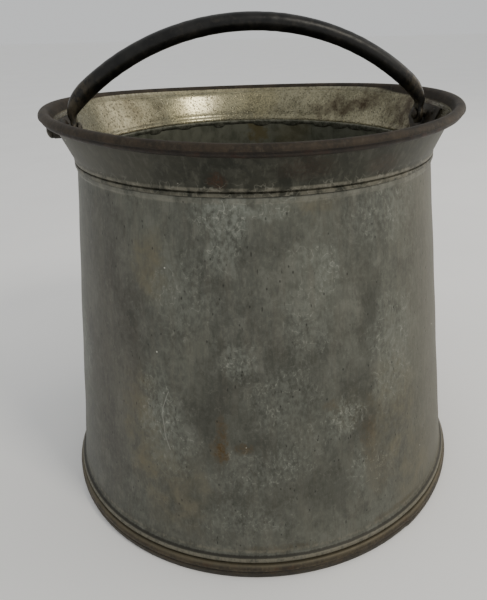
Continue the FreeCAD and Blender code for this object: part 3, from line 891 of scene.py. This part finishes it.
def stained_tin(s, colour, wavy, coarse, mottle, grain):
    """The colour with painted warm light on the right, painted shade on the left front and the
    large stains of the tables; also returns where the tin bloomed.
    """
    # painted light: the right side is tinted warm, as if the warm main light fell on it
    warm = s.window(s.math("MULTIPLY_ADD", s.y, 0.3, s.x), 10, 120)
    colour = s.tint(colour, warm, 0.6, srgb(86, 80, 62))
    # painted shade on the left front, and darker patches at the back
    colour = s.mix(s.patches(coarse, LEFT_SHADE_AND_DARK_PATCHES, 0.8), colour, srgb(72, 64, 58))
    dirt = s.patches(coarse, OCHRE_DIRT, 0.85)
    colour = s.tint(colour, dirt, s.window(mottle, 0.3, 0.75), srgb(104, 95, 70))
    colour = s.mix(s.patches(coarse, TARNISH, 0.8), colour, srgb(50, 50, 43))
    bloom = s.patches(coarse, BLOOM, 0.9)
    colour = s.tint(colour, bloom, s.window(grain, 0.28, 0.72), srgb(120, 123, 114))
    rust = s.patches(wavy, RUST, 0.75)
    return s.tint(colour, rust, s.window(grain, 0.3, 0.62), srgb(74, 58, 30)), bloom


def scratched_tin(s, colour, grain):
    """The colour with one long thin scratch, many short nicks and pits, and those two."""
    scratch = s.window(scratch_distance(s), 0.5, 0.15)
    colour = s.tint(colour, scratch, 0.5, srgb(150, 150, 141))
    nicks, _ = s.cells(5.4, (1, 1, 0.28), 31.0)
    nick = s.both(s.window(nicks, 0.13, 0.05), s.window(grain, 0.46, 0.56))
    colour = s.tint(colour, nick, 0.8, srgb(40, 39, 34))
    pits, chance = s.cells(4.6, (1, 1, 0.6), 23.0)
    pit = s.both(s.window(pits, 0.16, 0.06), s.window(chance, 0.5, 0.6))
    return s.tint(colour, pit, 0.75, srgb(38, 37, 32)), nick, pit


def tin_edges(s, colour, mottle, grain):
    """Dirt above the foot, the rubbed bead, a painted shadow line above the bead, and the pale
    solder line under the hem.
    """
    low = s.window(s.math("MULTIPLY_ADD", mottle, 14, s.z), 30, 18)
    colour = s.tint(colour, low, 0.28, srgb(48, 44, 35))
    bead = s.both(s.between(s.z, 11.6, 12.6, 15.0, 15.8), s.window(grain, 0.25, 0.6))
    colour = s.tint(colour, bead, 0.8, srgb(118, 113, 98))
    edge = s.both(s.between(s.z, 17.2, 18.4, 19, 21), s.window(grain, 0.35, 0.65))
    colour = s.tint(colour, edge, 0.55, srgb(122, 118, 104))
    # painted shade: a dark line where the wall meets the bead, standing for the shadow in that
    # groove
    wander = s.math("MULTIPLY_ADD", grain, 1.2, s.z)
    groove = s.between(wander, 15.5, 16.0, 16.7, 17.4)
    colour = s.tint(colour, groove, 0.8, srgb(34, 31, 25))
    hem = s.both(s.window(s.z, 254.8, 256.4), s.window(mottle, 0.35, 0.65))
    return s.tint(colour, hem, 0.5, srgb(132, 130, 118))


def scratch_distance(s):
    """Distance in millimetres from a long shallow curve on the left front of the wall."""
    angle = math.radians(-124.5)
    middle_height, curve, off_wall = 113, 0.0115, 9
    side = s.vector("DOT_PRODUCT", s.place, (-math.sin(angle), math.cos(angle), 0))
    front = s.window(s.vector("DOT_PRODUCT", s.place, (math.cos(angle), math.sin(angle), 0)),
                     40, 0)
    rise = s.math("SUBTRACT", s.z, middle_height)
    bend = s.both(s.both(rise, rise), curve)
    waver = s.both(s.math("SUBTRACT", s.noise(14, 2, 0.5, shift=3.3), 0.5), 3.0)
    away = s.math("ABSOLUTE", s.math("SUBTRACT", side, s.math("ADD", bend, waver)))
    ends = s.both(s.window(s.math("ABSOLUTE", rise), 21, 26), 5)
    return s.math("ADD", away, s.math("ADD", ends, s.both(front, off_wall)))


def collar_sheet():
    """Brighter speckled tin inside the collar with painted highlights, dark outside with painted
    shade and reflection, brown iron oxide on the roll.
    """
    s = Shader("collar_tin", 0.5)
    wavy, coarse = s.wavy(5, 5.0), s.wavy(14, 16.0)
    cloud = s.noise(30, 4, 0.6, shift=2.0)
    mottle = s.noise(9, 5, 0.66, shift=21.0, distortion=0.3)
    grain = s.noise(1.5, 3, 0.7, shift=9.0)
    streak = s.noise(3.0, 3, 0.6, (1, 1, 0.12), 15.0)

    outer = collar_outside(s, wavy, cloud, mottle, grain, streak)
    inner, pit = collar_inside(s, cloud, mottle, grain, streak)
    inner = collar_stains(s, inner, coarse, mottle, grain, streak)
    roll = rusted(s, srgb(56, 47, 36), srgb(38, 33, 26), srgb(74, 62, 47))
    roll = s.tint(roll, s.window(streak, 0.55, 0.75), 0.25, srgb(98, 92, 80))

    # at the back the inner side of the roll is still tinned
    inside, rolled = s.attribute("inside"), s.attribute("rolled")
    tinned_to = s.math("MULTIPLY_ADD", s.window(s.y, 30, 100), 0.1, 0.09)
    brown = s.window(s.math("SUBTRACT", rolled, tinned_to), 0.0, 0.03)
    colour = s.mix(s.window(s.math("ADD", inside, rolled), 0.0, 0.02), outer, inner)
    colour = s.mix(brown, colour, roll)
    rough = s.math("MULTIPLY_ADD", mottle, 0.16, 0.46)
    rough = s.math("MULTIPLY_ADD", inside, -0.3, rough)
    rough = s.math("MULTIPLY_ADD", brown, 0.14, rough)
    s.relief(s.both(pit, inside), 0.5, -0.25)
    s.relief(grain, 0.35, 0.14)
    s.relief(mottle, 0.35, 0.3)
    return s.finish(colour, rough, s.math("MULTIPLY_ADD", inside, 0.25, 0.5))


def collar_outside(s, wavy, cloud, mottle, grain, streak):
    """Tin painted dark as shade of the downward-facing flare, painted paler towards the ears as
    reflection, with painted highlights on its ridge and hem, and rust blotches.
    """
    # painted shade: the flare faces downwards, so its tin is painted much darker than the body's
    outer = s.mix(s.window(cloud, 0.38, 0.62), srgb(33, 34, 25), srgb(47, 47, 37))
    outer = s.tint(outer, s.window(mottle, 0.42, 0.7), 0.42, srgb(84, 83, 73))
    outer = s.tint(outer, s.window(streak, 0.5, 0.7), 0.35, srgb(88, 87, 77))
    # painted reflection: the collar is painted paler towards its sides, where the pale room is
    # mirrored
    painted_side_reflection = s.window(s.math("ABSOLUTE", s.x), 40, 118)
    outer = s.tint(outer, painted_side_reflection, 0.45, srgb(92, 90, 80))
    top = s.window(s.math("ADD", s.z, s.both(mottle, 12)), 284, 294)
    outer = s.tint(outer, top, 0.15, srgb(48, 42, 33))
    # painted highlight: a pale line along the swaged ridge, where light catches it
    ridge = s.between(s.z, 262.2, 263.2, 264.4, 265.6)
    outer = s.tint(outer, s.both(ridge, s.window(mottle, 0.35, 0.6)), 0.7, srgb(122, 118, 104))
    # painted highlight: a pale line on the outstanding hem
    hem = s.both(s.window(s.z, 263, 262), s.window(mottle, 0.4, 0.62))
    outer = s.tint(outer, hem, 0.7, srgb(112, 108, 94))
    blotch = s.patches(wavy, COLLAR_RUST, 0.85)
    outer = s.tint(outer, blotch, s.window(grain, 0.3, 0.6), srgb(58, 38, 22))
    curl = s.both(s.curls(8, 44.0, 0.02, 0.005), s.window(s.z, 270, 265))
    outer = s.tint(outer, curl, 0.4, srgb(132, 130, 118))
    near, chance = s.cells(12.0, shift=8.0)
    speck = s.both(s.window(near, 0.06, 0.03), s.window(chance, 0.62, 0.66))
    return s.tint(outer, speck, 0.8, srgb(190, 190, 178))


def collar_inside(s, cloud, mottle, grain, streak):
    """Yellowish tin, finely pitted; also returns the pits."""
    inner = s.mix(s.window(cloud, 0.35, 0.65), srgb(112, 108, 86), srgb(144, 139, 114))
    inner = s.tint(inner, s.window(grain, 0.48, 0.66), 0.35, srgb(170, 165, 146))
    inner = s.tint(inner, s.window(streak, 0.5, 0.72), 0.25, srgb(178, 169, 138))
    inner = s.tint(inner, s.window(grain, 0.46, 0.36), 0.5, srgb(72, 66, 51))
    inner = s.tint(inner, s.window(mottle, 0.5, 0.7), 0.3, srgb(90, 83, 63))
    pits, chance = s.cells(1.9, shift=17.0)
    pit = s.both(s.window(pits, 0.46, 0.26), s.window(chance, 0.45, 0.52))
    pit = s.both(pit, s.window(mottle, 0.3, 0.5))
    return s.tint(inner, pit, 0.55, srgb(56, 52, 40)), pit


def collar_stains(s, inner, coarse, mottle, grain, streak):
    """The inside with a painted highlight and paler places, its dirt and some painted shade, and
    a painted glint under the back roll.
    """
    # painted highlight where the main light is mirrored, and paler tin beside it
    highlight_and_pale = s.patches(coarse, COLLAR_HIGHLIGHT_AND_PALE, 0.9)
    inner = s.tint(inner, highlight_and_pale, s.window(grain, 0.3, 0.6), srgb(170, 161, 124))
    # dirt, and painted shade at 136 degrees
    dirt = s.patches(coarse, COLLAR_DIRT_AND_SHADE, 0.9)
    inner = s.tint(inner, dirt, s.window(mottle, 0.2, 0.6), srgb(60, 49, 33))
    # painted highlight: a pale glint on the crease just below the back roll
    under = s.both(s.window(s.z, 289, 292), s.window(streak, 0.35, 0.6))
    under = s.both(under, s.window(s.y, 60, 110))
    return s.tint(inner, under, 0.5, srgb(196, 192, 172))


def rusted(s, middle, dark, light):
    """Colour of brown oxidised iron."""
    cloud = s.noise(14, 4, 0.65, shift=4.0)
    grain = s.noise(1.8, 4, 0.7, shift=12.0)
    colour = s.mix(s.window(cloud, 0.35, 0.65), dark, middle)
    return s.tint(colour, s.window(grain, 0.46, 0.68), 0.45, light)


def iron(name, middle, dark, light, rust, worn=None):
    """Oxidised iron with rust grains and, if asked for, rubbed and paler high spots."""
    s = Shader(name, 0.45)
    colour = rusted(s, middle, dark, light)
    grain = s.noise(1.1, 4, 0.7, shift=6.0)
    lumps = s.noise(5.0, 4, 0.6, shift=16.0)
    patch = s.window(s.noise(8, 5, 0.7, shift=26.0), 0.52, 0.66)
    colour = s.tint(colour, patch, 0.6, rust)
    if worn:
        rubbed = s.window(s.noise(6, 4, 0.6, shift=33.0), 0.54, 0.7)
        colour = s.tint(colour, rubbed, 0.5, worn)
    roughness = s.math("ADD", 0.55, s.both(s.math("SUBTRACT", lumps, 0.5), 0.3))
    s.relief(grain, 0.4, 0.15)
    s.relief(lumps, 0.45, 0.4)
    return s, colour, roughness


def hoop_iron():
    """Brown iron, with a painted highlight on its upper edge and painted shade in its groove and
    near the floor.
    """
    s, colour, rough = iron("hoop_brown", srgb(68, 60, 45), srgb(44, 39, 30),
                            srgb(98, 86, 64), srgb(66, 48, 30))
    # painted highlight on the hoop's rounded upper edge
    colour = s.tint(colour, s.window(s.z, 8.6, 10.4), 0.5, srgb(106, 99, 80))
    # painted shade in the groove and on the lower part that faces the floor
    groove = s.window(s.math("ABSOLUTE", s.math("SUBTRACT", s.z, 5.7)), 0.8, 0.3)
    colour = s.tint(colour, groove, 0.7, srgb(26, 22, 17))
    colour = s.tint(colour, s.window(s.z, 5.6, 3.4), 0.6, srgb(34, 30, 24))
    return s.finish(colour, rough)


def rim_iron():
    """Dark brown iron of the rim wire."""
    s, colour, rough = iron("rim_brown", srgb(42, 34, 26), srgb(28, 23, 18), srgb(58, 47, 35),
                            srgb(54, 33, 22))
    return s.finish(colour, rough)


def ear_iron():
    """Greyer, rubbed iron of the plates, pins, washers and rivets."""
    s, colour, rough = iron("ear_grey", srgb(56, 51, 42), srgb(36, 32, 26), srgb(80, 72, 58),
                            srgb(66, 48, 33), srgb(104, 98, 84))
    return s.finish(colour, rough)


def solder():
    """Dull mottled grey solder with paler grains."""
    s = Shader("solder_grey", 0.5)
    mottle = s.noise(3.5, 4, 0.6, shift=5.0)
    grain = s.noise(0.9, 3, 0.6, shift=11.0)
    colour = s.mix(s.window(mottle, 0.38, 0.62), srgb(72, 73, 62), srgb(108, 108, 96))
    colour = s.tint(colour, s.window(grain, 0.5, 0.7), 0.4, srgb(140, 138, 124))
    s.relief(mottle, 0.5, 0.3)
    return s.finish(colour, s.math("ADD", 0.4, s.both(grain, 0.2)))


def bail_iron():
    """Black iron with rubbed lumps, browner and paler where it narrows towards the eyes."""
    s = Shader("bail_black", 0.5)
    cloud = s.noise(16, 4, 0.6, shift=1.0)
    grain = s.noise(1.2, 4, 0.7, shift=8.0)
    lumps = s.noise(4.5, 4, 0.6, shift=18.0)
    colour = s.mix(s.window(cloud, 0.35, 0.65), srgb(20, 20, 19), srgb(36, 35, 33))
    colour = s.tint(colour, s.window(lumps, 0.5, 0.68), 0.3, srgb(70, 65, 57))
    ends = s.window(s.math("ABSOLUTE", s.x), 104, 126)
    wear = s.both(ends, s.window(s.noise(5, 5, 0.7, (1, 1, 0.5), 40.0), 0.42, 0.6))
    colour = s.tint(colour, wear, 0.5, srgb(96, 86, 68))
    rough = s.math("MULTIPLY_ADD", cloud, 0.2, 0.27)
    s.relief(grain, 0.35, 0.12)
    s.relief(lumps, 0.5, 0.4)
    return s.finish(colour, rough)


# ---- assembly ----

tin, collar_tin, solder_grey = tinned_sheet(), collar_sheet(), solder()
hoop_brown, rim_brown, ear_grey, bail_black = hoop_iron(), rim_iron(), ear_iron(), bail_iron()


def dress(item, material, slot_name, body, *nodes):
    """Give a new piece its material and body, and let it stand for its CAD nodes."""
    item.data.materials.clear()
    item.data.materials.append(material)
    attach(item, body)
    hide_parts(*nodes)


dress(make_body(), tin, "tinned_sheet", "pail", "body_shell")
dress(make_collar(), collar_tin, "collar_sheet", "pail", "collar")
dress(make_rim_wire(), rim_brown, "rim_iron", "pail", "rim_wire")
dress(make_hoop(), hoop_brown, "hoop_iron", "pail", "foot_hoop")
dress(make_bottom_solder(), solder_grey, "solder", "pail", "bottom_solder")
dress(make_neck_solder(), solder_grey, "solder", "pail", "neck_solder")
dress(make_bail(), bail_black, "bail_iron", "bail", "bail")
for name, side in (("left", -1), ("right", 1)):
    pin = hammered(make_pin(f"bail_pin_{name}_visual", side), 0.12, 1.6)
    dress(pin, ear_grey, "ear_iron", "pail", "bail_pin_" + name)

for node, material, width in (
        ("bottom_plate", tin, 0.3), ("side_seam_solder", solder_grey, 0.2),
        ("ear_plate_left", ear_grey, 0.5), ("ear_plate_right", ear_grey, 0.5),
        ("pin_washer_left", ear_grey, 0.4), ("pin_washer_right", ear_grey, 0.4),
        ("ear_rivets", ear_grey, 0.4)):
    item = rounded_node(node, width)
    item.data.materials.clear()
    item.data.materials.append(material)


# ---- floor, light and camera ----

def make_floor():
    """A wide pale floor."""
    half = 12000
    floor = mesh_object("floor", [(-half, -half, 0), (half, -half, 0), (half, half, 0),
                                  (-half, half, 0)], [(0, 1, 2, 3)])
    s = Shader("floor_pale", 0.0, 0.2)
    soft = s.noise(160, 3, 0.5)
    colour = s.mix(s.window(soft, 0.3, 0.7), srgb(250, 249, 247), srgb(253, 252, 250))
    floor.data.materials.append(s.finish(colour, 0.85))


def area_light(name, spot, aim, size, power, colour, shine):
    data = bpy.data.lights.new(name, "AREA")
    data.shape = "SQUARE"
    data.size = size
    data.energy = power
    data.color = colour
    data.specular_factor = shine
    lamp = bpy.data.objects.new(name, data)
    lamp.location = spot
    lamp.rotation_mode = "QUATERNION"
    lamp.rotation_quaternion = (Vector(aim) - Vector(spot)).to_track_quat("-Z", "Y")
    bpy.context.scene.collection.objects.link(lamp)


def make_light():
    """A soft pale room, a warm main light from the front right and a weak one from the side."""
    world = bpy.data.worlds.new("studio")
    world.use_nodes = True
    sky = world.node_tree.nodes["Background"]
    sky.inputs["Color"].default_value = (0.93, 0.945, 0.95, 1)
    sky.inputs["Strength"].default_value = 0.74
    bpy.context.scene.world = world
    area_light("key", (1.2, -1.45, 1.9), (0, 0, 0.25), 0.5, 19, (1.0, 0.95, 0.84), 1.35)
    area_light("side", (1.9, 0.3, 0.9), (0, 0, 0.15), 1.4, 11, (1.0, 0.94, 0.84), 0.1)


def make_camera():
    """The photographer's place: in front, a little to the left, looking down on the pail."""
    away, height = 0.4386, 0.3486
    stand, heading = math.radians(8.0), math.radians(9.752)
    tilt, roll = math.radians(24.97), math.radians(-1.02)
    data = bpy.data.cameras.new("camera")
    data.sensor_width = 36
    data.lens = 34.5
    data.shift_x = -0.0532
    data.shift_y = -0.02105
    data.clip_start = 0.02
    data.clip_end = 60
    camera = bpy.data.objects.new("camera", data)
    camera.location = (-away * math.sin(stand), -away * math.cos(stand), height)
    ahead = Vector((math.sin(heading) * math.cos(tilt), math.cos(heading) * math.cos(tilt),
                    -math.sin(tilt)))
    camera.rotation_mode = "QUATERNION"
    camera.rotation_quaternion = ahead.to_track_quat("-Z", "Y") @ Quaternion((0, 0, 1), roll)
    bpy.context.scene.collection.objects.link(camera)
    bpy.context.scene.camera = camera


make_floor()
make_light()
make_camera()
